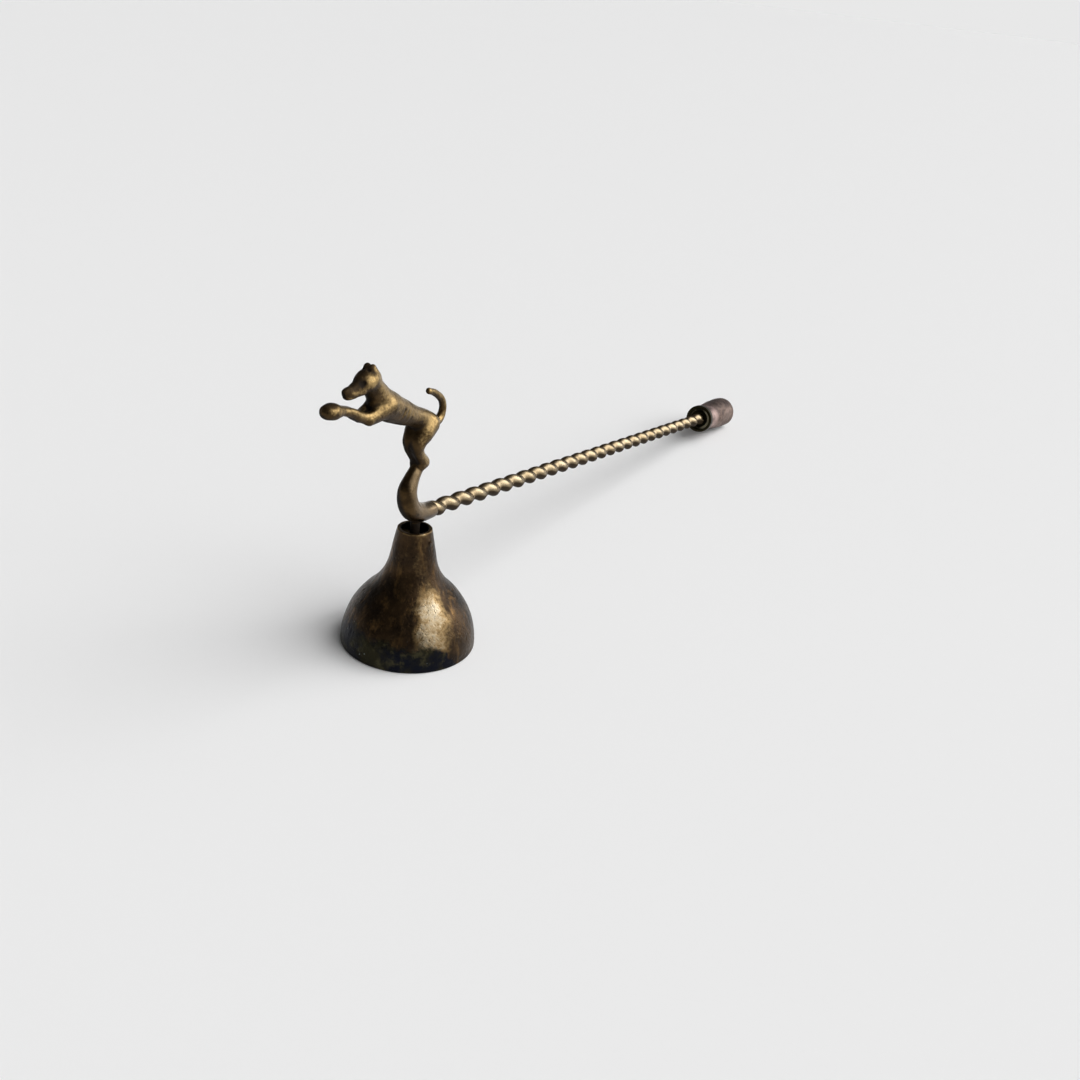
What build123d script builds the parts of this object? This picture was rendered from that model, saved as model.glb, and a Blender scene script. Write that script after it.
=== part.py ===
from build123d import *
import os
from math import asin, atan2, cos, degrees, hypot, pi, radians, sin, tan

# Candle snuffer: a hinged bell that hangs from a cast leaping dog on the end of a long twisted handle.
# The bell stands on its rim round the origin, the handle runs off along +X and down to the table, and the
# dog leaps towards -X. Everything but the pairs of limbs lies about the plane Y = 0.

os.makedirs("parts", exist_ok=True)

# Bell
rim_diameter = 31.6
bell_height = 29.2
bell_wall = 1.2
rim_band = 0.4  # upright band below the swell
dome_radius = 18.3  # arc of the swell, tangent to the rim band
neck_diameter = 8.2  # outside, at the lip
neck_taper = 10.4  # degrees that the neck leans in
neck_wall = 1.0
shoulder_radius = 13.9  # hollow curve from neck to swell
web = 1.2  # floor of the neck, which shuts the bell above the flame
lip_round = 0.3

# Hinge in the neck
pin_diameter = 1.4
pin_depth = 2.8  # below the lip
lug_thickness = 2.0
lug_radius = 1.35
running_clearance = 0.04  # pin in its eye and in the spacers
side_clearance = 0.12  # lug to spacers
floor_clearance = 0.5  # lug to web
spacer_wall = 0.6

# Handle
root_radius = 2.15
root_gap = 1.08  # root above the lip, on the axis of the bell
stem_start = 5.9  # along the handle from the axis of the bell
stem_length = 177.1
stem_diameter = 4.0
groove_depth = 0.85
twist_lead = 6.41
twist_facets = 8  # around the stem, and along each turn
crest_start = 0.25  # share of a turn from the side of the stem up to its crest, at the root
crest_fullness = 1.2  # higher for a narrower crest and a wider groove
tenon_diameter = 1.8
tenon_length = 3.0

# Collar and knob at the far end
collar_diameter = 9.5
collar_length = 1.0  # behind the floor of its dish
collar_wall = 0.9
collar_bevel = 0.6  # along the handle, at the back of the collar
collar_step = 0.3  # back of the collar over the neck of the knob
dish_depth = 1.4
dish_margin = 0.3  # flat floor of the dish round the stem
knob_diameter = 10.4
knob_neck_diameter = 7.8
knob_length = 22.5
knob_round = 2.2
knob_hollow = 0.3  # depth of the flare's hollow side
knob_tenon_length = 6.0

# Dog: stations along each limb as (x, height above the handle axis, half depth), and flatness, the ratio
# of half width to half depth. Paired limbs stand their spread to each side.
trunk = [
    (4.0, 20.6, 1.1),
    (2.9, 21.2, 2.1),
    (0.4, 22.4, 2.5),
    (-3.8, 24.5, 2.35),
    (-8.5, 26.7, 2.85),
    (-13.3, 29.0, 3.15),
    (-16.5, 30.3, 2.6),
    (-18.4, 31.0, 1.3),
]
trunk_flatness = 0.88
neck = [(-12.8, 29.0, 2.8), (-15.8, 31.5, 2.65), (-18.2, 33.9, 2.45), (-20.1, 36.0, 2.25)]
neck_flatness = 0.86
head = [
    (-18.2, 36.6, 1.5),
    (-19.8, 36.7, 2.5),
    (-21.8, 36.3, 2.5),
    (-23.8, 35.6, 1.85),
    (-25.6, 35.1, 1.45),
    (-27.0, 35.1, 1.2),
    (-27.8, 35.2, 0.6),
]
head_flatness = 0.9
ear = [(-19.4, 37.0, 1.2), (-19.9, 38.3, 1.0), (-20.4, 39.4, 0.5)]
ear_flatness = 0.65
ear_spread = 1.1
foreleg = [
    (-14.6, 29.4, 1.9),
    (-19.0, 28.6, 1.45),
    (-22.4, 29.1, 1.2),
    (-26.2, 31.1, 1.0),
    (-29.6, 32.3, 0.9),
]
foreleg_flatness = 0.9
foreleg_spread = 1.2
paw = [(-29.2, 32.1, 0.7), (-30.3, 32.4, 1.25), (-31.5, 32.6, 1.45), (-32.7, 32.8, 1.25), (-33.4, 32.9, 0.6)]
paw_flatness = 0.85
hindleg = [
    (1.5, 21.5, 2.2),
    (-0.6, 20.2, 2.4),
    (-2.3, 18.6, 2.05),
    (-2.5, 16.8, 1.55),
    (-1.5, 15.0, 1.3),
    (0.1, 12.9, 1.3),
]
hindleg_flatness = 0.8
hindleg_spread = 1.25
tail = [
    (3.8, 21.2, 1.3),
    (6.4, 21.0, 1.05),
    (7.9, 22.8, 0.9),
    (7.3, 25.4, 0.85),
    (4.6, 27.6, 0.8),
    (1.6, 28.9, 0.7),
    (0.8, 29.1, 0.4),
]
tail_flatness = 0.95

# Scroll under the dog, from the hind feet down to the root
scroll = [
    (0.4, 13.2, 1.6),
    (-0.7, 11.7, 1.5),
    (-2.6, 9.6, 1.75),
    (-4.0, 7.0, 2.2),
    (-3.6, 4.2, 2.4),
    (-1.9, 1.7, 2.4),
    (0.6, 0.35, 2.35),
]
scroll_flatness = 0.97

# Heights and radii that follow from these
rim_radius = rim_diameter / 2
neck_radius = neck_diameter / 2
pin_radius = pin_diameter / 2
spacer_radius = pin_radius + running_clearance + spacer_wall
pin_height = bell_height - pin_depth
socket_floor = pin_height - lug_radius - floor_clearance
axis_height = bell_height + root_gap + root_radius

# The handle droops until the round at the end of the knob touches the table
knob_end = stem_start + stem_length + collar_length + knob_length
round_along = knob_end - knob_round
round_across = knob_diameter / 2 - knob_round
droop = asin((axis_height - knob_round) / hypot(round_along, round_across)) - atan2(round_across, round_along)
handle_direction = Vector(cos(droop), 0, -sin(droop))
handle_axis = Axis((0, 0, axis_height), handle_direction)
handle_plane = Plane((0, 0, axis_height), x_dir=handle_direction, z_dir=(0, -1, 0))


def across_handle(along):
    """Plane square to the handle, the given distance along it from the axis of the bell."""
    return Plane(handle_axis.position + handle_direction * along, x_dir=(0, 1, 0), z_dir=handle_direction)


def neck_radius_at(height, inset=0.0):
    """Radius of the conical neck at a height, drawn in by an inset square to its wall."""
    lean = radians(neck_taper)
    return neck_radius + (bell_height - height) * tan(lean) - inset / cos(lean)


def bell_half(inset, top):
    """Half section of the bell drawn in by an inset and closed at a height."""
    dome_centre = (rim_radius - dome_radius, rim_band)
    with BuildSketch(Plane.XZ) as half:
        with Locations(dome_centre):
            Circle(dome_radius - inset)
        Rectangle(rim_radius, bell_height, align=(Align.MIN, Align.MIN), mode=Mode.INTERSECT)
        Rectangle(rim_radius - inset, rim_band, align=(Align.MIN, Align.MIN))
        Polygon(
            (0, rim_band),
            (neck_radius_at(rim_band, inset), rim_band),
            (neck_radius_at(bell_height, inset), bell_height),
            (0, bell_height),
            align=None,
        )
        meeting = half.vertices().sort_by(Axis.X)[3]
        fillet(meeting, shoulder_radius + inset)
        Rectangle(rim_radius, top, align=(Align.MIN, Align.MIN), mode=Mode.INTERSECT)
    return half.sketch


def oval(plane, half_depth, flatness):
    """Oval section of two arcs that meet at its sides, clear of the plane of symmetry."""
    half_width = half_depth * flatness
    with BuildSketch(plane) as section:
        with BuildLine():
            EllipticalCenterArc((0, 0), half_width, half_depth, 0, arc_size=180)
            EllipticalCenterArc((0, 0), half_width, half_depth, 180, arc_size=180)
        make_face()
    return section.sketch


def along_limb(stations, flatness, offset=0.0):
    """Oval sections square to the centre line of a limb."""
    centres = [Vector(x, offset, axis_height + height) for x, height, half_depth in stations]
    sections = []
    for i, (x, height, half_depth) in enumerate(stations):
        tangent = centres[min(i + 1, len(centres) - 1)] - centres[max(i - 1, 0)]
        sections.append(oval(Plane(centres[i], x_dir=(0, 1, 0), z_dir=tangent), half_depth, flatness))
    return sections


with BuildPart() as bell:
    revolve(bell_half(0, bell_height), Axis.Z)
    revolve(bell_half(bell_wall, socket_floor - web), Axis.Z, mode=Mode.SUBTRACT)
    with BuildSketch(Plane.XZ):
        Polygon(
            (0, socket_floor),
            (neck_radius_at(socket_floor, neck_wall), socket_floor),
            (neck_radius_at(bell_height, neck_wall), bell_height),
            (0, bell_height),
            align=None,
        )
    revolve(axis=Axis.Z, mode=Mode.SUBTRACT)
    lip_edges = bell.faces().sort_by(Axis.Z)[-1].edges()
    fillet(lip_edges, lip_round)
    with Locations(Location((0, 0, pin_height), (90, 0, 0))):
        Cylinder(pin_radius, rim_diameter, mode=Mode.SUBTRACT)
bell.part.label = "bell"
export_step(bell.part, "parts/bell.step")

with BuildPart() as hinge_pin:
    with Locations(Location((0, 0, pin_height), (90, 0, 0))):
        Cylinder(pin_radius, rim_diameter)
    with BuildSketch(Plane.XZ):
        Polygon(
            (0, socket_floor),
            (neck_radius_at(socket_floor), socket_floor),
            (neck_radius, bell_height),
            (0, bell_height),
            align=None,
        )
    revolve(axis=Axis.Z, mode=Mode.INTERSECT)
hinge_pin.part.label = "hinge_pin"
export_step(hinge_pin.part, "parts/hinge_pin.step")

for side, name in ((-1, "spacer_left"), (1, "spacer_right")):
    with BuildPart() as spacer:
        inner_face = lug_thickness / 2 + side_clearance
        with BuildSketch(Plane((0, side * inner_face, pin_height), x_dir=(1, 0, 0), z_dir=(0, side, 0))):
            Circle(spacer_radius)
            Circle(pin_radius + running_clearance, mode=Mode.SUBTRACT)
        extrude(amount=neck_radius)
        with BuildSketch(Plane.XZ):
            Polygon(
                (0, socket_floor),
                (neck_radius_at(socket_floor, neck_wall), socket_floor),
                (neck_radius_at(bell_height, neck_wall), bell_height),
                (0, bell_height),
                align=None,
            )
        revolve(axis=Axis.Z, mode=Mode.INTERSECT)
    spacer.part.label = name
    export_step(spacer.part, f"parts/{name}.step")

with BuildPart() as figure_scroll:
    # Scroll, then its root, square to the handle where the stem seats
    root = [oval(across_handle(along), root_radius, scroll_flatness) for along in (stem_start / 2, stem_start)]
    loft(sections=along_limb(scroll, scroll_flatness) + root)
    # Dog: hind leg, trunk, neck, head and tail, then the fore limbs of its left side, halved and mirrored
    loft(sections=along_limb(hindleg, hindleg_flatness, -hindleg_spread))
    loft(sections=along_limb(trunk, trunk_flatness))
    loft(sections=along_limb(neck, neck_flatness))
    loft(sections=along_limb(head, head_flatness))
    loft(sections=along_limb(tail, tail_flatness))
    loft(sections=along_limb(foreleg, foreleg_flatness, -foreleg_spread))
    loft(sections=along_limb(paw, paw_flatness, -foreleg_spread))
    loft(sections=along_limb(ear, ear_flatness, -ear_spread))
    split(bisect_by=Plane.XZ, keep=Keep.TOP)
    mirror(about=Plane.XZ)
    # Lug that hangs into the neck, with the eye for the pin
    with BuildSketch(Plane.XZ):
        with Locations((0, pin_height)):
            Circle(lug_radius)
            Rectangle(2 * lug_radius, axis_height - pin_height, align=(Align.CENTER, Align.MIN))
    extrude(amount=lug_thickness / 2, both=True)
    with Locations(Location((0, 0, pin_height), (90, 0, 0))):
        Cylinder(pin_radius + running_clearance, neck_diameter, mode=Mode.SUBTRACT)
    # Blind hole for the tenon of the stem
    with BuildSketch(across_handle(stem_start)):
        Circle(tenon_diameter / 2)
    extrude(amount=-tenon_length, mode=Mode.SUBTRACT)
figure_scroll.part.label = "figure_scroll"
export_step(figure_scroll.part, "parts/figure_scroll.step")


def stem_radius_at(turn):
    """Radius of the twisted stem at a share of a turn round from its groove."""
    crest = stem_diameter / 2
    return crest - groove_depth * (1 - abs(sin(pi * turn)) ** crest_fullness)


def twisted_bar(length):
    """Faceted bar along +Z with one right-handed groove; its facets follow the groove."""
    rows = round(length / twist_lead * twist_facets)

    def corner(column, row):
        turn = 2 * pi * column / twist_facets
        reach = stem_radius_at(0.5 + (column - row) / twist_facets - crest_start)
        return Vector(reach * cos(turn), reach * sin(turn), length * row / rows)

    sides = []
    for row in range(rows):
        for column in range(twist_facets):
            low_left = corner(column, row)
            low_right = corner(column + 1, row)
            high_right = corner(column + 1, row + 1)
            high_left = corner(column, row + 1)
            sides.append(Face(Wire.make_polygon([low_left, low_right, high_right])))
            sides.append(Face(Wire.make_polygon([low_left, high_right, high_left])))
    for row in (0, rows):
        sides.append(Face(Wire.make_polygon([corner(column, row) for column in range(twist_facets)])))
    return Solid(Shell(sides))


with BuildPart() as twisted_stem:
    add(across_handle(stem_start) * twisted_bar(stem_length))
    with BuildSketch(across_handle(stem_start)):
        Circle(tenon_diameter / 2)
    extrude(amount=-tenon_length)
    with BuildSketch(across_handle(stem_start + stem_length)):
        Circle(tenon_diameter / 2)
    extrude(amount=collar_length + knob_tenon_length)
twisted_stem.part.label = "twisted_stem"
export_step(twisted_stem.part, "parts/twisted_stem.step")

with BuildPart() as end_collar:
    collar_front = stem_start + stem_length - dish_depth
    collar_back = stem_start + stem_length + collar_length
    with BuildSketch(handle_plane):
        with BuildLine():
            Polyline(
                (stem_start + stem_length, tenon_diameter / 2),
                (stem_start + stem_length, stem_diameter / 2 + dish_margin),
                (collar_front, collar_diameter / 2 - collar_wall),
                (collar_front, collar_diameter / 2),
                (collar_back - collar_bevel, collar_diameter / 2),
                (collar_back, knob_neck_diameter / 2 + collar_step),
                (collar_back, tenon_diameter / 2),
                close=True,
            )
        make_face()
    revolve(axis=handle_axis)
end_collar.part.label = "end_collar"
export_step(end_collar.part, "parts/end_collar.step")

with BuildPart() as end_knob:
    knob_front = stem_start + stem_length + collar_length
    with BuildSketch(handle_plane):
        with BuildLine():
            Polyline((knob_end, 0), (knob_front, 0), (knob_front, knob_neck_diameter / 2))
            SagittaArc((knob_front, knob_neck_diameter / 2), (round_along, knob_diameter / 2), -knob_hollow)
            CenterArc((round_along, round_across), knob_round, 0, 90)
            Line((knob_end, round_across), (knob_end, 0))
        make_face()
    revolve(axis=handle_axis)
    with BuildSketch(across_handle(knob_front)):
        Circle(tenon_diameter / 2)
    extrude(amount=knob_tenon_length, mode=Mode.SUBTRACT)
end_knob.part.label = "end_knob"
export_step(end_knob.part, "parts/end_knob.step")

print("droop of the handle", round(degrees(droop), 2), "degrees")
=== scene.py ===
from itertools import product
from math import asin, atan2, cos, degrees, hypot, pi, radians, sin, tan

import bpy
import numpy as np
from mathutils import Matrix, Vector


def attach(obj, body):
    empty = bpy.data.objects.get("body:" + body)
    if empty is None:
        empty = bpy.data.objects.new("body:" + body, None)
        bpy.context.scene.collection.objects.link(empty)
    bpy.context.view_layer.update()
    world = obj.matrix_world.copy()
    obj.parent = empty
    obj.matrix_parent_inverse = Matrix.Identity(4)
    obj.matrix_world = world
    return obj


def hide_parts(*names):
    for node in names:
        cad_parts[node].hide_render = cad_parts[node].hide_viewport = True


# Looks of a candle snuffer: a patinated bell under a cast leaping dog, on a long twisted brass handle.
# Lengths are in millimetres, as on the part, and become metres where a mesh is made.

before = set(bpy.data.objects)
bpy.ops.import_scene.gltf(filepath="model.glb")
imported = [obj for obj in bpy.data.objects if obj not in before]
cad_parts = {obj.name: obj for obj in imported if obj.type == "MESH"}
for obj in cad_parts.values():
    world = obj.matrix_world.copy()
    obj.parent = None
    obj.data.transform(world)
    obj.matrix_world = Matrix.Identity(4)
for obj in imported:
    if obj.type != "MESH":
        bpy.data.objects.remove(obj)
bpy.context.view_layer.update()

MM = 0.001
lit_side = np.array([0.22, -0.69, 0.69])  # towards the light: the figure is painted bright on the side facing it and painted in shade on the side facing away
stem_lit_side = np.array([0.0, -0.77, 0.64])  # towards the side of the stem painted with a highlight; its top and underside, facing away, are painted in shade
cast_skin = 0.05  # drawn in by this much, so that dents and rings stay within the part
edge_points = 6  # on each rounded edge of the bell
bead_points = 5  # and of the collar

# Bell
rim_diameter = 31.6
bell_height = 29.2
bell_wall = 1.2
rim_band = 0.4
dome_radius = 18.3
neck_diameter = 8.2
neck_taper = radians(10.4)
neck_wall = 1.0
shoulder_radius = 13.9
web = 1.2
lip_round = 0.3
rim_round = 0.35
rub_and_highlight_bearing = -122  # degrees about the bell's axis: the middle of the patch that is rubbed bright and painted with a highlight
soot_bearing = -175  # and of the soot
soot_reach = 6.8
soot_least = 0.5

# Hinge
pin_diameter = 1.4
pin_height = 26.4
pin_proud = 0.03
pin_edge = 0.12
lug_thickness = 2.0
lug_radius = 1.35
eye_radius = 0.74
socket_floor = 24.55

# Handle
axis_height = 32.43
stem_start = 5.9
stem_length = 177.1
stem_diameter = 4.0
stem_tuck = 0.35  # past each end, into the root and the collar
groove_depth = 0.85
twist_lead = 6.41
crest_fullness = 1.5  # higher for a narrower crest and a wider groove
crest_start = radians(183)  # turn that puts the crests where the photo shows them

# Collar and knob
collar_diameter = 9.5
collar_length = 1.0
collar_wall = 0.9
collar_bore = 1.2  # inner radius, hidden by the end of the stem
collar_gap = 0.3  # round the stem and the knob
collar_edge = 0.28
collar_bead = 0.22
bead_inset = 0.1
face_sink = 0.05
collar_slope = 0.45  # of the bevels round the dish and at the back
dish_bevel = 0.35
dish_depth = 1.4
knob_diameter = 10.4
knob_neck_diameter = 8.0
knob_length = 22.5
knob_round = 2.2
knob_swell = 0.4
knob_edge = 0.3
knob_ring_pitch = 1.1

stem_end = stem_start + stem_length
collar_front = stem_end - dish_depth
knob_front = stem_end + collar_length
knob_end = knob_front + knob_length
round_along = knob_end - knob_round
round_across = knob_diameter / 2 - knob_round
round_reach = hypot(round_along, round_across)
droop = asin((axis_height - knob_round) / round_reach) - atan2(round_across, round_along)
handle_direction = np.array([cos(droop), 0.0, -sin(droop)])
handle_up = np.array([sin(droop), 0.0, cos(droop)])
handle_side = np.array([0.0, 1.0, 0.0])
handle_base = np.array([0.0, 0.0, axis_height])

# Dog and scroll: stations (x, height above the handle axis, half depth)
trunk = [
    (4.0, 20.6, 1.1),
    (2.9, 21.2, 2.1),
    (0.4, 22.4, 2.5),
    (-3.8, 24.5, 2.35),
    (-8.5, 26.7, 2.85),
    (-13.3, 29.0, 3.15),
    (-16.5, 30.3, 2.6),
    (-17.8, 30.8, 1.8),
]
neck = [(-12.8, 29.0, 2.8), (-15.8, 31.5, 2.65), (-18.2, 33.9, 2.45), (-20.1, 36.0, 2.25)]
head = [
    (-19.0, 36.5, 1.9),
    (-20.2, 36.6, 2.35),
    (-21.8, 36.2, 2.3),
    (-23.8, 35.5, 1.7),
    (-25.6, 35.05, 1.45),
    (-26.9, 35.05, 1.32),
]
ear = [(-19.5, 36.9, 1.4), (-19.8, 37.9, 1.3), (-20.1, 38.6, 1.1)]
foreleg = [
    (-14.6, 29.4, 1.9),
    (-19.0, 28.6, 1.45),
    (-22.4, 29.1, 1.2),
    (-26.2, 31.1, 1.0),
    (-29.6, 32.3, 0.9),
]
paw = [(-30.2, 32.3, 1.2), (-31.6, 32.6, 1.6), (-33.0, 32.75, 1.4)]
upper_arm = [(-14.4, 29.9, 1.4), (-17.4, 29.6, 1.4), (-21.2, 28.5, 1.1)]
hindleg = [
    (1.5, 21.5, 2.2),
    (-0.6, 20.2, 2.4),
    (-2.3, 18.6, 2.05),
    (-2.5, 16.8, 1.55),
    (-1.5, 15.0, 1.3),
    (0.1, 12.9, 1.3),
]
tail = [
    (3.8, 21.2, 1.3),
    (6.4, 21.0, 1.05),
    (7.9, 22.8, 0.9),
    (7.3, 25.4, 0.85),
    (4.6, 27.6, 0.8),
    (1.8, 28.8, 0.7),
]
scroll = [
    (0.4, 13.2, 1.6),
    (-0.7, 11.7, 1.5),
    (-2.6, 9.6, 1.75),
    (-4.0, 7.0, 2.2),
    (-3.6, 4.2, 2.4),
    (-1.9, 1.7, 2.4),
    (0.6, 0.35, 2.3),
    (3.0, -0.38, 2.15),
    (5.85, -0.79, 1.95),
]


# Meshes

def lattice_noise(points, size, seed):
    """Smooth noise from -1 to 1 at points, with features of a size in millimetres."""
    cells = 24
    random = np.random.default_rng(seed)
    lattice = random.uniform(-1, 1, (cells, cells, cells))
    turned, _ = np.linalg.qr(random.normal(size=(3, 3)))
    scaled = points @ turned / size
    base = np.floor(scaled).astype(int)
    part = scaled - base
    part = part * part * (3 - 2 * part)
    value = np.zeros(len(points))
    for corner in product((0, 1), repeat=3):
        weight = np.prod(np.where(corner, part, 1 - part), axis=1)
        value += weight * lattice[tuple(((base + corner) % cells).T)]
    return value


def relief(points, *layers):
    """Sum of layers of smooth noise, each (height, size, seed)."""
    return sum(height * lattice_noise(points, size, seed) for height, size, seed in layers)


def make_piece(name, vertices, faces, body, replaced, slot, **attributes):
    """Mesh object from points in millimetres, riding on a body in place of a node of the part."""
    mesh = bpy.data.meshes.new(name)
    mesh.from_pydata((vertices * MM).tolist(), [], [list(face) for face in faces])
    mesh.update()
    mesh.shade_smooth()
    for key, values in attributes.items():
        mesh.attributes.new(key, "FLOAT", "POINT").data.foreach_set("value", values.astype(np.float32))
    piece = bpy.data.objects.new(name, mesh)
    bpy.context.scene.collection.objects.link(piece)
    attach(piece, body)
    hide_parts(*replaced)
    return piece


def arc(centre, radius, start, end, count):
    """Points on an arc between two angles in degrees."""
    angles = np.radians(np.linspace(start, end, count))
    return [(centre[0] + radius * cos(a), centre[1] + radius * sin(a)) for a in angles]


def spaced(points, step):
    """Points of an outline with none further apart than a step."""
    result = [points[0]]
    for start, end in zip(points, points[1:]):
        pieces = max(1, int(hypot(end[0] - start[0], end[1] - start[1]) / step + 0.5))
        for i in range(1, pieces + 1):
            share = i / pieces
            result.append(tuple(a + (b - a) * share for a, b in zip(start, end)))
    return result


def lathe(profile, segments, place, closed=False):
    """Turned surface of a profile of (radius, along). place puts (across, side, along) into the frame.
    An open profile starts and ends on the axis."""
    rows = [p for p in profile if p[0] > 1e-6]
    turns = np.linspace(0, 2 * pi, segments, endpoint=False)
    ring = np.array([[(r * cos(t), r * sin(t), a) for t in turns] for r, a in rows]).reshape(-1, 3)
    faces = []
    count = len(rows) if closed else len(rows) - 1
    for i in range(count):
        low, high = i * segments, (i + 1) % len(rows) * segments
        for j in range(segments):
            k = (j + 1) % segments
            faces.append((low + j, low + k, high + k, high + j))
    if not closed:
        ends = [(0, 0, profile[0][1]), (0, 0, profile[-1][1])]
        first, last = len(ring), len(ring) + 1
        top = (len(rows) - 1) * segments
        ring = np.vstack([ring, ends])
        for j in range(segments):
            k = (j + 1) % segments
            faces.append((first, k, j))
            faces.append((last, top + j, top + k))
    return place(ring), faces


def upright(points):
    """Places turned points about the axis of the bell."""
    return points


def on_handle(points):
    """Places turned points about the axis of the handle."""
    across, side, along = points.T[:, :, None]
    return handle_base + along * handle_direction + across * handle_up - side * handle_side


def normals_of(vertices, faces):
    """Unit normals of the vertices of a mesh of quads and triangles."""
    normals = np.zeros_like(vertices)
    for size in (3, 4):
        group = np.array([face for face in faces if len(face) == size])
        if len(group):
            across = vertices[group[:, 2]] - vertices[group[:, 0]]
            along = vertices[group[:, -1]] - vertices[group[:, 1]]
            square = np.cross(across, along)
            for column in group.T:
                np.add.at(normals, column, square)
    return normals / np.maximum(np.linalg.norm(normals, axis=1, keepdims=True), 1e-12)


def edges_of(faces):
    """Pairs of neighbouring vertices."""
    pairs = [np.stack([faces[:, i], faces[:, (i + 1) % 4]], 1) for i in range(4)]
    return np.unique(np.sort(np.concatenate(pairs), axis=1), axis=0)


def neighbour_mean(values, edges):
    """Mean of each vertex's neighbours."""
    total = np.zeros_like(values)
    np.add.at(total, edges[:, 0], values[edges[:, 1]])
    np.add.at(total, edges[:, 1], values[edges[:, 0]])
    count = np.bincount(edges.ravel(), minlength=len(values))
    return total / (count if values.ndim == 1 else count[:, None])


def smoothstep(low, high, values):
    """From 0 at low to 1 at high, which may be the smaller."""
    share = np.clip((values - low) / (high - low), 0, 1)
    return share * share * (3 - 2 * share)


# Bell

def neck_radius_at(height, inset=0.0):
    """Radius of the conical neck at a height, drawn in by an inset square to its wall."""
    return neck_diameter / 2 + (bell_height - height) * tan(neck_taper) - inset / cos(neck_taper)


def bell_side(inset, top):
    """Outline of the bell from a height on the neck down to the rim band, drawn in by an inset."""
    dome = np.array([rim_diameter / 2 - dome_radius, rim_band])
    swell = dome_radius - inset
    hollow = shoulder_radius + inset
    lean = np.array([cos(neck_taper), sin(neck_taper)])
    reach = neck_radius_at(0, inset) * cos(neck_taper) + hollow
    # The centre of the hollow curve lies on the neck's line moved out,
    # and clear of the swell by both radii
    offset = reach - dome @ lean
    slide = np.sqrt((swell + hollow) ** 2 - offset ** 2)
    centre = dome + offset * lean + slide * np.array([-lean[1], lean[0]])
    to_swell = dome - centre
    low = degrees(atan2(to_swell[1], to_swell[0])) % 360
    neck_foot = 180 + degrees(neck_taper)
    shoulder = arc(centre, hollow, neck_foot, low, count=24)
    meet = low - 180
    return [(neck_radius_at(top, inset), top)] + shoulder + arc(dome, swell, meet, 0, count=60)[1:]


def build_bell():
    lip_outer = (neck_radius_at(bell_height) - lip_round, bell_height - lip_round)
    lip_inner = (neck_radius_at(bell_height, neck_wall) + lip_round, bell_height - lip_round)
    rim = rim_diameter / 2
    rim_inner = rim - bell_wall
    outer = bell_side(0, bell_height - lip_round)
    inner = bell_side(bell_wall, socket_floor - web)
    profile = [(0, socket_floor), (neck_radius_at(socket_floor, neck_wall), socket_floor)]
    profile += arc(lip_inner, lip_round, 180, 90, edge_points)
    profile += arc(lip_outer, lip_round, 90, 0, edge_points)
    profile += outer[1:]
    profile += arc((rim - rim_round, rim_round), rim_round, 0, -90, edge_points)
    profile += arc((rim_inner + rim_round, rim_round), rim_round, -90, -180, edge_points)
    profile += inner[::-1] + [(0, socket_floor - web)]
    vertices, faces = lathe(spaced(profile, step=0.3)[::-1], segments=288, place=upright)
    normals = normals_of(vertices, faces)
    height = vertices[:, 2]
    # Soft dents and pits of an old casting, held back at the rim that it stands on
    clear = smoothstep(0.2, 1.5, height)
    dents = relief(vertices, (0.05, 3.1, 1), (0.025, 1.1, 2))
    pits = 0.07 * smoothstep(0.45, 0.8, lattice_noise(vertices, size=0.75, seed=3))
    vertices = vertices - normals * (cast_skin - clear * (dents - pits))[:, None] * clear[:, None]
    turn = np.degrees(np.arctan2(vertices[:, 1], vertices[:, 0]))
    widest = 16
    away = np.einsum("ij,ij->i", normals, vertices * [1, 1, 0]) / widest
    outside = smoothstep(-0.2, 0.2, away + 0.1)
    # Rubbed bright and painted with a highlight down one side of the neck and swell; rubbed bright on the
    # lip
    from_patch = turn - rub_and_highlight_bearing + relief(vertices, (7, 2.6, 7))
    beside = smoothstep(-25, -11, from_patch) * smoothstep(32, 8, from_patch)
    swell = smoothstep(2.5, 6.0, height) * (1 - 0.75 * smoothstep(12.0, 20.0, height))
    patches = 0.5 + relief(vertices, (0.5, 5.0, 4))
    overall = 0.17 * patches * smoothstep(3.0, 9.0, height)
    lip = smoothstep(bell_height - 0.55, bell_height - 0.2, height)
    wear = outside * (swell * beside * (0.7 + 0.5 * patches) + overall)
    wear += 0.9 * lip * (0.35 + 0.65 * patches)
    # Soot from the flame, highest on the other side, and all over the inside
    from_soot = np.abs((turn - soot_bearing + 180) % 360 - 180)
    reach = soot_least + soot_reach * smoothstep(76, 46, from_soot)
    ragged = relief(vertices, (1.2, 4.5, 5), (0.9, 1.6, 6))
    soot = 1 - smoothstep(0.4, 1.2, (height + ragged) / reach)
    soot = np.maximum(soot * outside, 1 - outside)
    return make_piece(
        "bell_casting", vertices, faces, "bell", ["bell"], "bell_bronze", wear=wear, soot=soot
    )


def build_hinge_pin():
    reach = neck_radius_at(pin_height) + pin_proud
    radius = pin_diameter / 2
    half = arc((radius - pin_edge, reach - pin_edge), pin_edge, 0, 90, count=4)
    profile = [(0, -reach)] + [(r, -a) for r, a in half[::-1]] + half + [(0, reach)]

    def across_bell(points):
        across, side, along = points.T
        return np.stack([across, along, pin_height - side], 1)

    vertices, faces = lathe(spaced(profile, step=0.5), segments=32, place=across_bell)
    dull = np.full(len(vertices), 0.15)
    return make_piece(
        "hinge_rivet", vertices, faces, "bell", ["hinge_pin"], "hinge_brass", wear=dull, soot=dull
    )


# Cast figure, modelled like clay on a grid of distances

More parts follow.
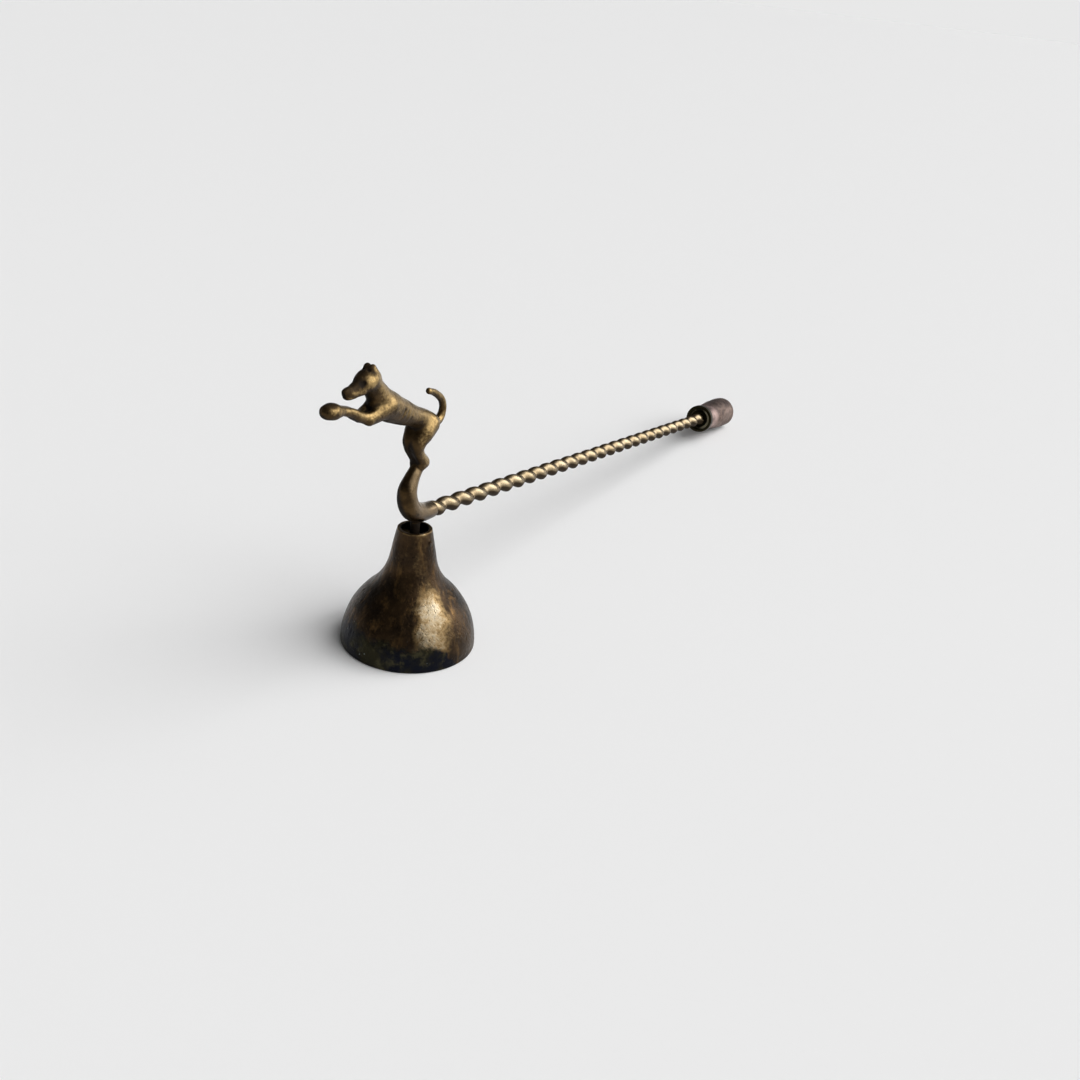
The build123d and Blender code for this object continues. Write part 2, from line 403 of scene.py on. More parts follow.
class Clay:
    """Distances to a surface on a grid, built up limb by limb with soft joins."""

    def __init__(self, low, high, step):
        self.low = np.array(low, float)
        self.step = step
        shape = np.ceil((np.array(high) - self.low) / step).astype(int) + 1
        far = 5.0  # millimetres, beyond the reach of any limb's window
        self.field = np.full(shape, far, np.float32)

    def window(self, points, margin):
        """Slices of the grid round some points, and the coordinates there."""
        points = np.array(points)
        first = np.floor((points.min(0) - margin - self.low) / self.step).astype(int)
        last = np.ceil((points.max(0) + margin - self.low) / self.step).astype(int) + 1
        first, last = np.maximum(first, 0), np.minimum(last, self.field.shape)
        part = tuple(slice(a, b) for a, b in zip(first, last))
        axes = [self.low[i] + self.step * np.arange(first[i], last[i]) for i in range(3)]
        return part, np.meshgrid(*axes, indexing="ij", sparse=True)

    def limb_distance(self, centres, radii, flatness, margin):
        """Distance to a limb of round cones between its centres, narrowed across Y by its flatness."""
        part, (x, y, z) = self.window(centres, max(radii) + margin)
        nearest = None
        for a, b, ra, rb in zip(centres, centres[1:], radii, radii[1:]):
            run = (b - a) * [1, 1 / flatness, 1]
            dx, dy, dz = x - a[0], (y - a[1]) / flatness, z - a[2]
            share = np.clip((dx * run[0] + dy * run[1] + dz * run[2]) / max(run @ run, 1e-9), 0, 1)
            dx, dy, dz = dx - share * run[0], dy - share * run[1], dz - share * run[2]
            gap = np.sqrt(dx ** 2 + dy ** 2 + dz ** 2) - (ra + (rb - ra) * share)
            nearest = gap if nearest is None else np.minimum(nearest, gap)
        return part, nearest.astype(np.float32)

    def add(self, centres, radii, flatness=1.0, blend=0.6):
        """Adds a limb, with a fillet of about the blend where it joins."""
        part, gap = self.limb_distance(centres, radii, flatness, margin=2.5)
        old = self.field[part]
        share = np.clip(0.5 + 0.5 * (gap - old) / blend, 0, 1)
        self.field[part] = gap + (old - gap) * share - blend * share * (1 - share)

    def carve(self, centres, radii, flatness=1.0, blend=0.15):
        """Takes a limb's shape away, with soft edges."""
        part, gap = self.limb_distance(centres, radii, flatness, margin=1.0)
        old = self.field[part]
        share = np.clip(0.5 - 0.5 * (gap + old) / blend, 0, 1)
        self.field[part] = old + (-gap - old) * share + blend * share * (1 - share)

    def surface(self):
        """Closed mesh of quads where the distance is zero, with a vertex in each cell that it crosses."""
        field = self.field
        inside = field < 0
        size = np.array(field.shape)
        corners = []
        for corner in product((0, 1), repeat=3):
            corners.append(inside[tuple(slice(o, n - 1 + o) for o, n in zip(corner, size))])
        cells = np.argwhere(np.logical_or.reduce(corners) & ~np.logical_and.reduce(corners))
        index = np.full(size - 1, -1)
        index[tuple(cells.T)] = np.arange(len(cells))
        total = np.zeros((len(cells), 3))
        count = np.zeros(len(cells))
        quads = []
        for axis in range(3):
            u, v = (axis + 1) % 3, (axis + 2) % 3
            for offset in product((0, 1), repeat=2):
                start = cells.copy()
                start[:, [u, v]] += offset
                end = start.copy()
                end[:, axis] += 1
                a, b = field[tuple(start.T)], field[tuple(end.T)]
                crossed = (a < 0) != (b < 0)
                points = start[crossed].astype(float)
                points[:, axis] += a[crossed] / (a[crossed] - b[crossed])
                total[crossed] += points
                count[crossed] += 1
            low = np.take(inside, np.arange(size[axis] - 1), axis)
            high = np.take(inside, np.arange(1, size[axis]), axis)
            edges = np.argwhere(low != high)
            ring = []
            for du, dv in ((0, 0), (-1, 0), (-1, -1), (0, -1)):
                cell = edges.copy()
                cell[:, u] += du
                cell[:, v] += dv
                ring.append(index[tuple(cell.T)])
            ring = np.stack(ring, 1)
            backward = ~inside[tuple(edges.T)]
            ring[backward] = ring[backward][:, ::-1]
            quads.append(ring)
        return self.low + self.step * total / count[:, None], np.concatenate(quads)


def smooth_line(stations, start=0.0, end=None, pieces=6):
    """Smooth curve of centres and radii through a limb's stations, offset across Y from start to end."""
    offsets = np.linspace(start, start if end is None else end, len(stations))
    points = [(x, y, axis_height + height, r) for (x, height, r), y in zip(stations, offsets)]
    points = np.array(points)
    padded = np.vstack([2 * points[0] - points[1], points, 2 * points[-1] - points[-2]])
    line = []
    for a, b, c, d in zip(padded, padded[1:], padded[2:], padded[3:]):
        for share in np.linspace(0, 1, pieces, endpoint=False):
            line.append(
                b
                + 0.5 * share * (c - a)
                + share ** 2 * (a - 2.5 * b + 2 * c - 0.5 * d)
                + share ** 3 * (1.5 * b - 0.5 * a + 0.5 * d - 1.5 * c)
            )
    line.append(points[-1])
    line = np.array(line)
    return line[:, :3], line[:, 3]


def spot(x, y, height):
    """A point of the figure, by its height above the handle axis."""
    return np.array([x, y, axis_height + height])


def near_spot(vertices, spot_at, radius):
    """Mask that fades out round a spot (x, out to each side, height above the handle axis)."""
    x, across, height = spot_at
    gap = (vertices[:, 0] - x) ** 2 + (np.abs(vertices[:, 1]) - across) ** 2
    gap += (vertices[:, 2] - axis_height - height) ** 2
    return np.exp(-gap / radius ** 2)


def sculpt_figure():
    """Mesh of the dog on its scroll. Flatness is half width to half depth."""
    clay = Clay(low=(-36, -5, 22.5), high=(10.5, 5, 73.5), step=0.16)
    # Scroll, down to the root that the stem seats in
    clay.add(*smooth_line(scroll), flatness=0.97)
    # Trunk, neck, head and tail
    clay.add(*smooth_line(trunk), flatness=0.88)
    clay.add(*smooth_line(neck), flatness=0.86, blend=1.0)
    clay.add(*smooth_line(head), flatness=0.9, blend=0.7)
    clay.add(*smooth_line(tail), flatness=0.95, blend=0.8)
    for side in (-1, 1):
        clay.add(*smooth_line(hindleg, 1.0 * side), flatness=0.88, blend=0.9)
        clay.add(*smooth_line(foreleg, 1.2 * side, 0.6 * side), flatness=0.9, blend=0.9)
        clay.add(*smooth_line(paw, 0.5 * side, 0.4 * side), flatness=0.9, blend=0.6)
        clay.add(*smooth_line(upper_arm, 1.5 * side), flatness=0.8, blend=0.9)
        haunch = [spot(1.6, 1.5 * side, 21.6), spot(-0.8, 1.8 * side, 20.4)]
        clay.add(haunch, [1.7, 1.6], flatness=0.8, blend=1.2)
        cheek = [spot(-20.6, 1.3 * side, 36.5), spot(-21.4, 1.3 * side, 36.2)]
        clay.add(cheek, [1.1, 1.05], flatness=0.8, blend=0.8)
        upper_lip = [spot(-26.6, 0.75 * side, 35.0), spot(-23.4, 1.1 * side, 34.7)]
        clay.add(upper_lip, [0.4, 0.45])
        # Upright ear, hollow in front
        clay.add(*smooth_line(ear, 0.6 * side), flatness=0.7, blend=0.4)
        ear_hollow = [spot(-21.35, 0.7 * side, 38.9), spot(-21.3, 0.7 * side, 39.3)]
        clay.carve(ear_hollow, [0.38, 0.35], blend=0.3)
        # Eye, a soft hollow under the brow
        eye = [spot(-24.1, 1.3 * side, 36.75), spot(-23.6, 1.4 * side, 36.8)]
        clay.carve(eye, [0.42, 0.42], blend=0.45)
        mouth = [spot(-28.2, 0.7 * side, 34.55), spot(-24.4, 1.35 * side, 34.15)]
        clay.carve(mouth, [0.2, 0.15], blend=0.15)
        nostril = [spot(-28.35, 0.42 * side, 35.75), spot(-28.0, 0.5 * side, 35.7)]
        clay.carve(nostril, [0.18, 0.18], blend=0.12)
        # Toes of the fore paws, and the hind feet on the scroll
        outer_toe = [spot(-35.2, 0.7 * side, 32.2), spot(-33.7, 0.7 * side, 34.3)]
        clay.carve(outer_toe, [0.2, 0.12], blend=0.3)
        hind_foot = [spot(0.5, 1.0 * side, 12.7), spot(-0.6, 1.05 * side, 12.3)]
        clay.add(hind_foot, [1.15, 0.95], flatness=0.85, blend=0.5)
        # Hollows between the ribs
        for x, height in ((-9.6, 26.6), (-11.2, 27.3), (-7.9, 25.9)):
            rib = [spot(x - 0.5, 2.62 * side, height - 1.1), spot(x + 0.7, 2.62 * side, height + 1.0)]
            clay.carve(rib, [0.12, 0.12], blend=0.5)
    nose = [spot(-28.0, 0, 35.65), spot(-27.8, 0, 35.7)]
    clay.add(nose, [0.5, 0.5], flatness=1.3, blend=0.3)
    between_paws = [spot(-35.2, 0, 32.2), spot(-33.9, 0, 34.3)]
    clay.carve(between_paws, [0.22, 0.12], blend=0.3)
    # Lug with its eye, down in the neck of the bell
    lug_top = np.array([0, 0, axis_height])
    lug_low = np.array([0, 0, pin_height])
    clay.add([lug_top, lug_low], [lug_radius, lug_radius], lug_thickness / 2 / lug_radius, blend=0.3)
    reach = np.array([0, lug_thickness, 0])
    clay.carve([lug_low - reach, lug_low + reach], [eye_radius, eye_radius], blend=0.05)
    return clay.surface()


def build_figure():
    vertices, faces = sculpt_figure()
    edges = edges_of(faces)
    for _ in range(2):
        vertices = vertices + 0.5 * (neighbour_mean(vertices, edges) - vertices)
    normals = normals_of(vertices, faces)
    # Raised and hollow places, from how far each vertex stands over its surroundings
    spread = vertices
    for _ in range(14):
        spread = neighbour_mean(spread, edges)
    raised = np.einsum("ij,ij->i", vertices - spread, normals)
    for _ in range(4):
        raised = 0.5 * raised + 0.5 * neighbour_mean(raised, edges)
    facing = normals @ lit_side
    # The face is painted darker as shade: the forehead, top of the muzzle and front of the ears, which
    # face away from the light; darker round the eyes too
    x, height = vertices[:, 0], vertices[:, 2] - axis_height
    face = smoothstep(-17.5, -20.5, x) * smoothstep(33.0, 34.2, height)
    brow_shade = smoothstep(0.05, 0.55, 0.6 * normals[:, 2] - 0.8 * normals[:, 0])
    eye = near_spot(vertices, (-23.9, 1.2, 36.65), radius=0.7)
    cheek = near_spot(vertices, (-21.9, 1.9, 36.8), radius=1.2)
    wear = 0.3 * smoothstep(0.05, 0.30, raised) * (1 - 0.7 * face)
    # Painted highlight on the sides that face the light, and on the cheek
    wear += 0.66 * smoothstep(0.05, 0.95, facing) * (1 - 0.6 * face * brow_shade)
    wear += 0.8 * cheek
    # Patina dark in the hollows, and painted shade on the sides that face away from the light and on the
    # face
    grime = smoothstep(0.06, -0.12, raised) * (1 - 0.4 * face)
    grime += 0.85 * smoothstep(0.1, -0.65, facing)
    grime += 0.45 * face * brow_shade + 0.6 * eye - 0.5 * cheek
    # The lug is black in the neck of the bell, and the scroll is smoother than the dog
    in_neck = smoothstep(axis_height - 1.6, axis_height - 2.6, vertices[:, 2])
    polish = smoothstep(14.0, 11.0, height)
    cast = relief(vertices, (0.035, 1.3, 11), (0.02, 0.6, 12))
    vertices = vertices + normals * (cast * (1 - 0.8 * polish) * (1 - in_neck))[:, None]
    grime = np.clip(np.maximum(grime, 0) + 2 * in_neck, 0, 1)
    return make_piece(
        "cast_dog", vertices, faces, "handle", ["figure_scroll"], "figure_bronze",
        wear=wear * (1 - in_neck), grime=grime, polish=polish,
    )


# Twisted stem, collar and knob

def build_stem():
    around, rows = 40, 760
    turn = np.linspace(0, 2 * pi, around, endpoint=False)
    rise = np.abs(np.sin(turn / 2)) ** crest_fullness  # 0 in the groove, 1 on the crest
    reach = stem_diameter / 2 - groove_depth * (1 - rise)
    along = np.linspace(stem_start - stem_tuck, stem_end + stem_tuck, rows)
    twist = 2 * pi * along / twist_lead + crest_start
    angle = turn[None, :] + twist[:, None]
    across = np.tile(reach, (rows, 1))
    points = (
        handle_base
        + along[:, None, None] * handle_direction
        + (across * np.cos(angle))[:, :, None] * handle_up
        - (across * np.sin(angle))[:, :, None] * handle_side
    ).reshape(-1, 3)
    index = np.arange(rows * around).reshape(rows, around)
    beside = np.roll(index, -1, axis=1)
    quads = np.stack([index[:-1], beside[:-1], beside[1:], index[1:]], -1).reshape(-1, 4).tolist()
    faces = quads + [index[0, ::-1].tolist(), index[-1].tolist()]
    normals = normals_of(points, quads)
    # Painted highlight along the side of the stem that faces the light, brightest on the crests; painted
    # shade on its top and underside, and a little patina in the groove
    facing = normals @ stem_lit_side
    crest = np.tile(rise, rows)
    wear = (0.5 + 0.5 * smoothstep(0.3, 0.95, crest)) * smoothstep(0.6, 0.97, facing)
    hollow = 1 - smoothstep(0.0, 0.45, crest)
    grime = np.clip(0.15 * hollow + smoothstep(0.90, 0.64, facing), 0, 1)
    points = points + normals * relief(points, (0.03, 1.3, 21))[:, None]
    return make_piece(
        "twist_rod", points, faces, "handle", ["twisted_stem"], "stem_brass", wear=wear, grime=grime
    )


def build_collar():
    outer = collar_diameter / 2
    inner = outer - collar_wall
    profile = [(collar_bore, stem_end), (stem_diameter / 2 + collar_gap, stem_end)]
    profile += [(inner - dish_bevel, collar_front + collar_slope)]
    bead = (inner + collar_bead - bead_inset, collar_front + collar_bead)
    profile += arc(bead, collar_bead, 180, 270, bead_points)
    profile += [(outer - collar_edge - bead_inset, collar_front + face_sink)]
    front, back = collar_front + collar_edge, knob_front - collar_slope - collar_edge
    profile += arc((outer - collar_edge, front), collar_edge, 270, 360, bead_points)
    profile += arc((outer - collar_edge, back), collar_edge, 0, 70, bead_points)
    profile += [(knob_neck_diameter / 2 + collar_gap, knob_front), (collar_bore, knob_front)]
    vertices, faces = lathe(spaced(profile, step=0.25), segments=128, place=on_handle, closed=True)
    along = (vertices - handle_base) @ handle_direction
    across = np.linalg.norm(vertices - handle_base - along[:, None] * handle_direction, axis=1)
    # A polished ring round the dish, with a painted reflection that is brightest on the -Y side
    ring = np.exp(-((across - inner + 0.55) / 0.6) ** 2) * smoothstep(1.4, 0.7, along - collar_front)
    beside = smoothstep(0.1, 0.8, -vertices[:, 1] / across)
    wear = np.clip(ring * (0.45 + 0.75 * beside), 0, 1)
    return make_piece(
        "dished_collar", vertices, faces, "handle", ["end_collar"], "collar_brass", wear=wear
    )


def build_knob():
    neck_radius = knob_neck_diameter / 2
    side_start = knob_front + knob_edge
    shares = np.linspace(0, 1, 61)
    radii = neck_radius + (knob_diameter / 2 - neck_radius) * shares
    radii += knob_swell * 4 * shares * (1 - shares)
    side = list(zip(radii, side_start + (round_along - side_start) * shares))
    profile = [(0, knob_front), (neck_radius - knob_edge, knob_front)] + side
    profile += arc((round_across, round_along), knob_round, 0, 90, count=16)[1:] + [(0, knob_end)]
    vertices, faces = lathe(spaced(profile, step=0.3), segments=128, place=on_handle)
    normals = normals_of(vertices, faces)
    along = (vertices - handle_base) @ handle_direction
    # Shallow turned rings and small dents
    rings = 0.02 * np.sin(2 * pi * along / knob_ring_pitch)
    rings += relief(along[:, None] * [1, 0, 0], (0.03, 0.6, 31))
    dents = relief(vertices, (0.05, 2.2, 32))
    vertices = vertices + normals * (rings + dents - cast_skin)[:, None]
    # Mottled, with a paler band by the collar, and painted shade above and below
    wear = smoothstep(0.2, 0.9, 0.5 + relief(vertices, (0.5, 3.0, 33)))
    band = np.exp(-((along - knob_front - 3.0) / 2.4) ** 2)
    upward = normals @ handle_up
    shade = smoothstep(0.5, 0.95, upward) + smoothstep(-0.35, -0.9, upward)
    return make_piece(
        "end_cap", vertices, faces, "handle", ["end_knob"], "knob_copper",
        wear=wear, band=band, shade=shade,
    )


# Materials

class Nodes:
    """A tree of nodes, with a short call for each kind used here."""

    def __init__(self, tree):
        self.tree = tree

    def node(self, kind, links=(), **settings):
        node = self.tree.nodes.new(kind)
        for key, value in settings.items():
            setattr(node, key, value)
        for socket, source in links:
            if isinstance(source, bpy.types.NodeSocket):
                self.tree.links.new(source, node.inputs[socket])
            else:
                node.inputs[socket].default_value = source
        return node

    def math(self, operation, a, b=0.0):
        return self.node("ShaderNodeMath", [(0, a), (1, b)], operation=operation).outputs[0]

    def plus(self, a, b):
        return self.math("ADD", a, b)

    def times(self, a, b):
        return self.math("MULTIPLY", a, b)

    def spread(self, value, low, high, to_low=0.0, to_high=1.0):
        """A value taken smoothly from one range to another."""
        links = [("Value", value), ("From Min", low), ("From Max", high)]
        links += [("To Min", to_low), ("To Max", to_high)]
        return self.node("ShaderNodeMapRange", links, interpolation_type="SMOOTHSTEP").outputs[0]


class Shader(Nodes):
    """The nodes of a new material."""

    def __init__(self, name):
        self.material = bpy.data.materials.new(name)
        self.material.use_nodes = True
        super().__init__(self.material.node_tree)
        self.surface = self.tree.nodes["Principled BSDF"]
        self.place = self.node("ShaderNodeTexCoord").outputs["Object"]

    def noise(self, size_mm, detail, roughness, stretch=(1, 1, 1)):
        """Noise from 0 to 1 with features of a size in millimetres."""
        place = self.node("ShaderNodeMapping", [(0, self.place), ("Scale", stretch)]).outputs[0]
        links = [("Vector", place), ("Scale", 1 / (size_mm * MM))]
        links += [("Detail", detail), ("Roughness", roughness)]
        return self.node("ShaderNodeTexNoise", links).outputs[0]

    def pits(self, size_mm):
        """Distance to scattered points, 0 at each."""
        links = [("Vector", self.place), ("Scale", 1 / (size_mm * MM))]
        return self.node("ShaderNodeTexVoronoi", links).outputs["Distance"]

    def attribute(self, name):
        return self.node("ShaderNodeAttribute", attribute_name=name).outputs["Fac"]

    def blend(self, share, a, b):
        """Mix of two colours."""
        a, b = [c if isinstance(c, bpy.types.NodeSocket) else (*c, 1.0) for c in (a, b)]
        return self.node("ShaderNodeMix", [(0, share), (6, a), (7, b)], data_type="RGBA").outputs[2]

    def bump(self, height, depth_mm, strength):
        links = [("Height", height), ("Distance", depth_mm * MM), ("Strength", strength)]
        return self.node("ShaderNodeBump", links).outputs[0]

    def finish(self, colour, roughness, metallic, normal, specular=0.5):
        values = {
            "Base Color": colour,
            "Roughness": roughness,
            "Metallic": metallic,
            "Normal": normal,
            "Specular IOR Level": specular,
        }
        for socket, value in values.items():
            if isinstance(value, bpy.types.NodeSocket):
                self.tree.links.new(value, self.surface.inputs[socket])
            elif value is not None:
                self.surface.inputs[socket].default_value = value
        return self.material


def bell_material():
    shader = Shader("bell_patina")
    umber, chestnut, rust = (0.022, 0.015, 0.010), (0.060, 0.036, 0.018), (0.14, 0.080, 0.031)
    old_gold, highlight_gold = (0.30, 0.20, 0.09), (0.50, 0.42, 0.295)
    blue_black, brown_black = (0.008, 0.009, 0.014), (0.022, 0.020, 0.011)
    olive, ash = (0.055, 0.050, 0.027), (0.25, 0.28, 0.27)
    blotch = shader.noise(6.0, 4.0, 0.55)
    streak = shader.noise(1.8, 4.0, 0.6, stretch=(1, 1, 0.22))
    mottle = shader.noise(1.4, 4.0, 0.6)
    grain = shader.noise(0.7, 3.0, 0.6)
    breakup = shader.plus(shader.times(mottle, 0.7), shader.times(grain, 0.6))
    # Brown patina with streaks, rubbed through to gold, with a pale painted highlight where wear and
    # highlight are strongest
    worn_and_lit = shader.plus(shader.attribute("wear"), breakup)
    bright = shader.spread(worn_and_lit, 0.80, 1.75)
    brown = shader.blend(shader.spread(blotch, 0.35, 0.68), umber, chestnut)
    brown = shader.blend(shader.spread(streak, 0.5, 0.78), brown, rust)
    gold = shader.blend(shader.spread(worn_and_lit, 1.3, 2.0), old_gold, highlight_gold)
    metal = shader.blend(bright, brown, gold)
    # Soot, mottled and flecked with ash
    sooty = shader.spread(shader.plus(shader.attribute("soot"), breakup), 0.70, 1.30)
    black = shader.blend(shader.spread(blotch, 0.4, 0.65), blue_black, brown_black)
    black = shader.blend(shader.spread(shader.noise(3.2, 5.0, 0.7), 0.5, 0.72), black, olive)
    colour = shader.blend(sooty, metal, black)
    flecks = shader.times(sooty, shader.spread(shader.pits(2.3), 0.10, 0.05))
    colour = shader.blend(shader.times(flecks, 0.6), colour, ash)
    rubbed = shader.math("SUBTRACT", grain, shader.times(bright, 0.2))
    roughness = shader.spread(rubbed, 0.2, 0.7, 0.26, 0.44)
    pitted = shader.times(shader.spread(shader.pits(0.9), 0.0, 0.35), 0.6)
    bump = shader.bump(shader.plus(grain, pitted), depth_mm=0.10, strength=0.8)
    return shader.finish(colour, roughness, 1.0, bump)


def figure_material():
    shader = Shader("figure_bronze_cast")
    dark_bronze, bronze = (0.034, 0.021, 0.010), (0.085, 0.052, 0.022)
    dog_gold, scroll_gold = (0.38, 0.26, 0.11), (0.34, 0.245, 0.14)
    soil_and_shade = (0.012, 0.008, 0.005)
    blotch = shader.noise(3.0, 5.0, 0.6)
    speck = shader.noise(0.55, 3.0, 0.6)
    polish = shader.attribute("polish")
    # Mottled on the dog, and more even on the polished scroll
    steady = shader.spread(polish, 0.0, 1.0, 1.0, 0.3)
    breakup = shader.plus(shader.times(blotch, 0.7), shader.times(speck, 0.9))
    breakup = shader.plus(shader.times(shader.math("SUBTRACT", breakup, 0.8), steady), 0.75)
    bright = shader.spread(shader.plus(shader.attribute("wear"), breakup), 0.98, 1.72)
    body = shader.blend(shader.spread(blotch, 0.3, 0.7), dark_bronze, bronze)
    metal = shader.blend(bright, body, shader.blend(polish, dog_gold, scroll_gold))
    # Darker with patina in the hollows and with painted shade on the sides that face away from the light
    soiled_and_shaded = shader.plus(shader.attribute("grime"), shader.times(speck, 0.3))
    dark = shader.spread(soiled_and_shaded, 0.30, 1.0)
    colour = shader.blend(dark, metal, soil_and_shade)
    smooth = shader.plus(bright, shader.times(polish, 0.6))
    roughness = shader.plus(shader.spread(smooth, 0.0, 1.3, 0.42, 0.24), shader.times(dark, 0.3))
    metallic = shader.spread(dark, 0.0, 1.0, 1.0, 0.3)
    grain = shader.times(speck, shader.spread(polish, 0.0, 1.0, 1.0, 0.25))
    bump = shader.bump(grain, depth_mm=0.10, strength=0.8)
    return shader.finish(colour, roughness, metallic, bump, specular=0.1)


def stem_material():
    shader = Shader("stem_antique_brass")
    dull_brass, warm_crest, pale_crest = (0.15, 0.105, 0.058), (0.30, 0.225, 0.13), (0.42, 0.34, 0.22)
    soil_and_shade = (0.030, 0.019, 0.009)
    blotch = shader.noise(4.0, 4.0, 0.6)
    speck = shader.noise(0.4, 3.0, 0.6)
    crest = shader.blend(shader.spread(blotch, 0.3, 0.7), warm_crest, pale_crest)
    # Crests worn and painted with a highlight, and painted shade on the top and underside of the stem
    worn_and_lit = shader.plus(shader.attribute("wear"), shader.times(speck, 0.5))
    metal = shader.blend(shader.spread(worn_and_lit, 0.1, 1.1), dull_brass, crest)
    dark = shader.spread(shader.attribute("grime"), 0.10, 0.95)
    colour = shader.blend(dark, metal, soil_and_shade)
    roughness = shader.plus(shader.spread(speck, 0.3, 0.7, 0.20, 0.36), shader.times(dark, 0.3))
    metallic = shader.spread(dark, 0.0, 1.0, 1.0, 0.1)
    bump = shader.bump(speck, depth_mm=0.04, strength=0.5)
    return shader.finish(colour, roughness, metallic, bump, specular=0.1)


def collar_material():
    shader = Shader("collar_blackened")
    black, smoke, pale_brass = (0.010, 0.009, 0.005), (0.040, 0.034, 0.016), (0.42, 0.38, 0.26)
    blotch = shader.noise(2.0, 4.0, 0.6)
    speck = shader.noise(0.3, 3.0, 0.6)
    worn_and_lit = shader.plus(shader.attribute("wear"), shader.times(blotch, 0.4))
    bright = shader.spread(worn_and_lit, 0.5, 1.15)
    colour = shader.blend(bright, shader.blend(blotch, black, smoke), pale_brass)
    roughness = shader.spread(speck, 0.3, 0.7, 0.3, 0.5)
    metallic = shader.spread(bright, 0.0, 1.0, 1.0, 0.2)
    return shader.finish(colour, roughness, metallic, shader.bump(speck, depth_mm=0.03, strength=0.5))


def knob_material():
    shader = Shader("knob_dull_copper")
    dark_copper, copper, rubbed_copper = (0.055, 0.029, 0.022), (0.21, 0.145, 0.115), (0.31, 0.235, 0.20)
    pink, soil_and_shade = (0.48, 0.35, 0.32), (0.035, 0.022, 0.020)
    blotch = shader.noise(2.6, 5.0, 0.65)
    speck = shader.noise(0.35, 3.0, 0.6)
    body = shader.blend(shader.spread(blotch, 0.38, 0.64), dark_copper, copper)
    colour = shader.blend(shader.times(shader.attribute("wear"), 0.35), body, rubbed_copper)
    band = shader.times(shader.attribute("band"), shader.spread(blotch, 0.3, 0.6, 0.35, 0.8))
    colour = shader.blend(band, colour, pink)
    # Painted shade above and below
    dark = shader.times(shader.attribute("shade"), shader.spread(blotch, 0.3, 0.7, 0.85, 0.5))
    colour = shader.blend(dark, colour, soil_and_shade)
    roughness = shader.spread(speck, 0.3, 0.7, 0.5, 0.7)
    return shader.finish(colour, roughness, 0.65, shader.bump(speck, depth_mm=0.04, strength=0.5))


def hinge_material():
    shader = Shader("hinge_dull_brass")
    blotch = shader.noise(0.8, 4.0, 0.6)
    colour = shader.blend(blotch, (0.05, 0.032, 0.014), (0.16, 0.105, 0.045))
    roughness = shader.spread(blotch, 0.3, 0.7, 0.35, 0.5)
    return shader.finish(colour, roughness, 1.0, shader.bump(blotch, depth_mm=0.02, strength=0.4))


def dress(target, material):
    target.data.materials.clear()
    target.data.materials.append(material)


# Stage

def build_floor():
    half = 150.0  # metres, so that its edge is out of sight
    corners = [(-half, -half, 0), (half, -half, 0), (half, half, 0), (-half, half, 0)]
    mesh = bpy.data.meshes.new("floor")
    mesh.from_pydata(corners, [], [(0, 1, 2, 3)])
    floor = bpy.data.objects.new("floor", mesh)
    bpy.context.scene.collection.objects.link(floor)
    pale = (0.84, 0.84, 0.84, 1.0)
    dress(floor, Shader("floor_pale").finish(pale, roughness=0.9, metallic=0.0, normal=None))


def bearing(azimuth, elevation):
    """Unit vector towards a bearing in degrees."""
    turn, rise = radians(azimuth), radians(elevation)
    return Vector((cos(rise) * cos(turn), cos(rise) * sin(turn), sin(rise)))


def build_lamps():
    """A broad soft sky over the table. It adds no reflections, which come from the world."""
    light = bpy.data.lights.new("sky", "SUN")
    light.energy = 1.35
    light.angle = radians(58)
    lamp = bpy.data.objects.new("sky", light)
    lamp.rotation_euler = bearing(288, 50).to_track_quat("Z", "Y").to_euler()
    lamp.visible_glossy = False
    bpy.context.scene.collection.objects.link(lamp)


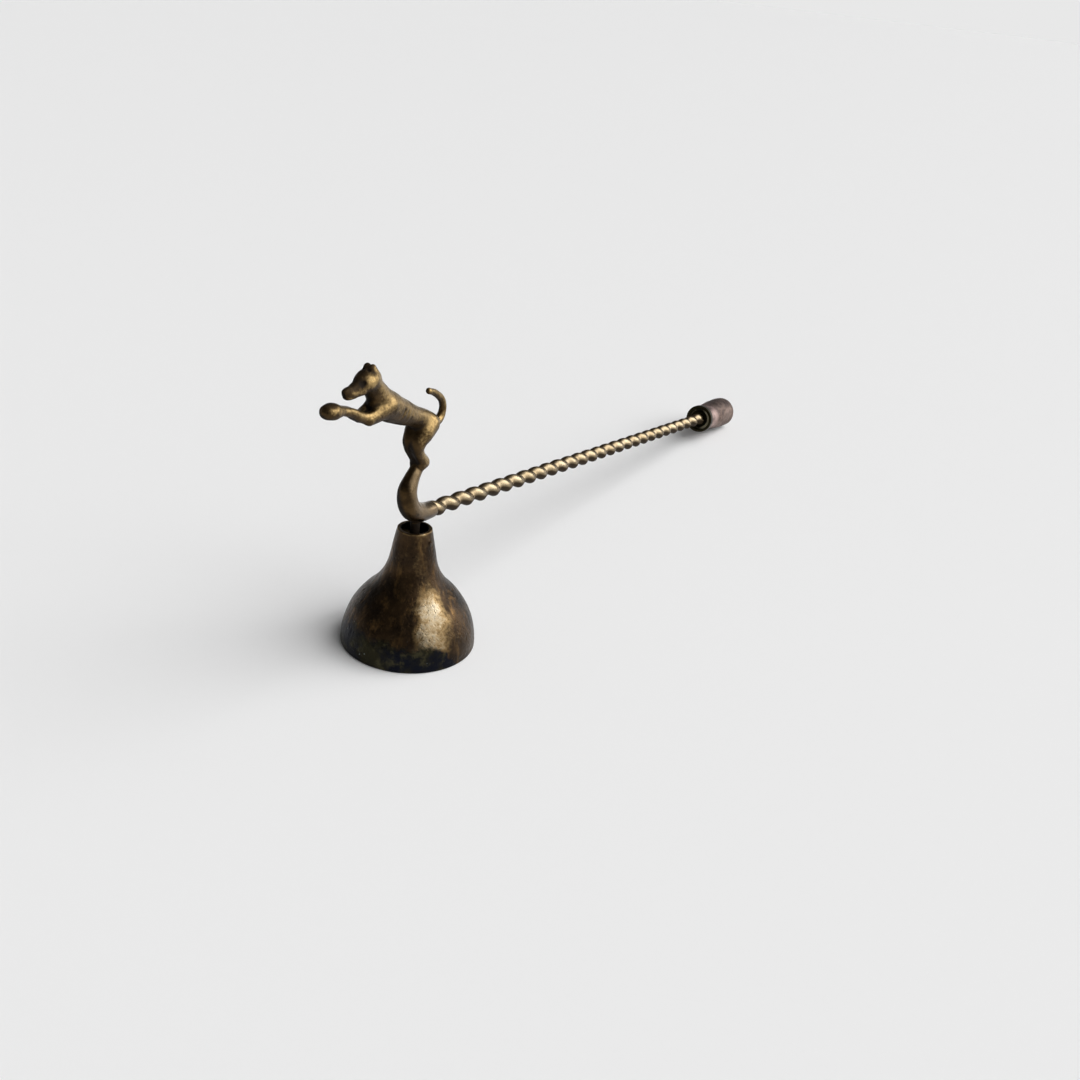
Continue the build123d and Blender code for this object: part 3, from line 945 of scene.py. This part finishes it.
def build_world():
    """Room for the metal to reflect: dim, pale low down behind the object, with two tall panels of light
    to one side. The camera itself sees a plain pale room."""
    pale, dim = 0.807, 0.14
    panels = [(292, 0.78, 0.48, 1.4), (322, 0.42, 0.22, 2.2)]  # azimuth, outer and inner edge, strength
    world = bpy.data.worlds.new("studio")
    world.use_nodes = True
    nodes = Nodes(world.node_tree)
    way = nodes.node("ShaderNodeTexCoord").outputs["Generated"]

    def towards(direction):
        links = [(0, way), (1, tuple(direction))]
        return nodes.node("ShaderNodeVectorMath", links, operation="DOT_PRODUCT").outputs["Value"]

    height = towards((0, 0, 1))
    behind = nodes.spread(towards(bearing(26, 0)), -0.1, 0.7)
    low = nodes.spread(height, 0.12, 0.04)
    glow = nodes.plus(nodes.times(nodes.times(behind, low), pale - dim), dim)
    tall = nodes.times(nodes.spread(height, 0.0, 0.12), nodes.spread(height, 0.92, 0.75))
    for azimuth, outer, inner, strength in panels:
        side = nodes.math("ABSOLUTE", towards(bearing(azimuth + 90, 0)))
        front = nodes.spread(towards(bearing(azimuth, 0)), 0.0, 0.2)
        panel = nodes.times(nodes.times(nodes.spread(side, outer, inner), front), strength)
        glow = nodes.plus(glow, nodes.times(panel, tall))
    seen = nodes.node("ShaderNodeLightPath").outputs["Is Camera Ray"]
    backdrop = world.node_tree.nodes["Background"]
    backdrop.inputs["Color"].default_value = (1, 1, 1, 1)
    world.node_tree.links.new(nodes.spread(seen, 0.0, 1.0, glow, pale), backdrop.inputs["Strength"])
    bpy.context.scene.world = world


def build_camera():
    """Camera whose place, angles and lens are fitted to the photo."""
    position = Vector((-202.68, -131.98, 143.85)) * MM
    yaw, pitch, roll = radians(26.309), radians(-25.419), radians(6.808)
    focal_share = 1174.3 / 1080  # focal length over the width of the frame
    forward = Vector((cos(pitch) * cos(yaw), cos(pitch) * sin(yaw), sin(pitch)))
    level = forward.cross(Vector((0, 0, 1))).normalized()
    rise = level.cross(forward)
    right = cos(roll) * level + sin(roll) * rise
    up = -sin(roll) * level + cos(roll) * rise
    data = bpy.data.cameras.new("camera")
    data.sensor_width = 36.0
    data.lens = data.sensor_width * focal_share
    data.clip_start = 0.01
    camera = bpy.data.objects.new("camera", data)
    turned = Matrix((right, up, -forward)).transposed()
    camera.matrix_world = Matrix.Translation(position) @ turned.to_4x4()
    bpy.context.scene.collection.objects.link(camera)
    bpy.context.scene.camera = camera


bell_patina = bell_material()
dress(build_bell(), bell_patina)
dress(build_hinge_pin(), bell_patina)
dress(build_figure(), figure_material())
dress(build_stem(), stem_material())
dress(build_collar(), collar_material())
dress(build_knob(), knob_material())
hinge_brass = hinge_material()
for name in ("spacer_left", "spacer_right"):
    dress(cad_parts[name], hinge_brass)

build_floor()
build_world()
build_lamps()
build_camera()

scene = bpy.context.scene
scene.view_settings.view_transform = "Standard"
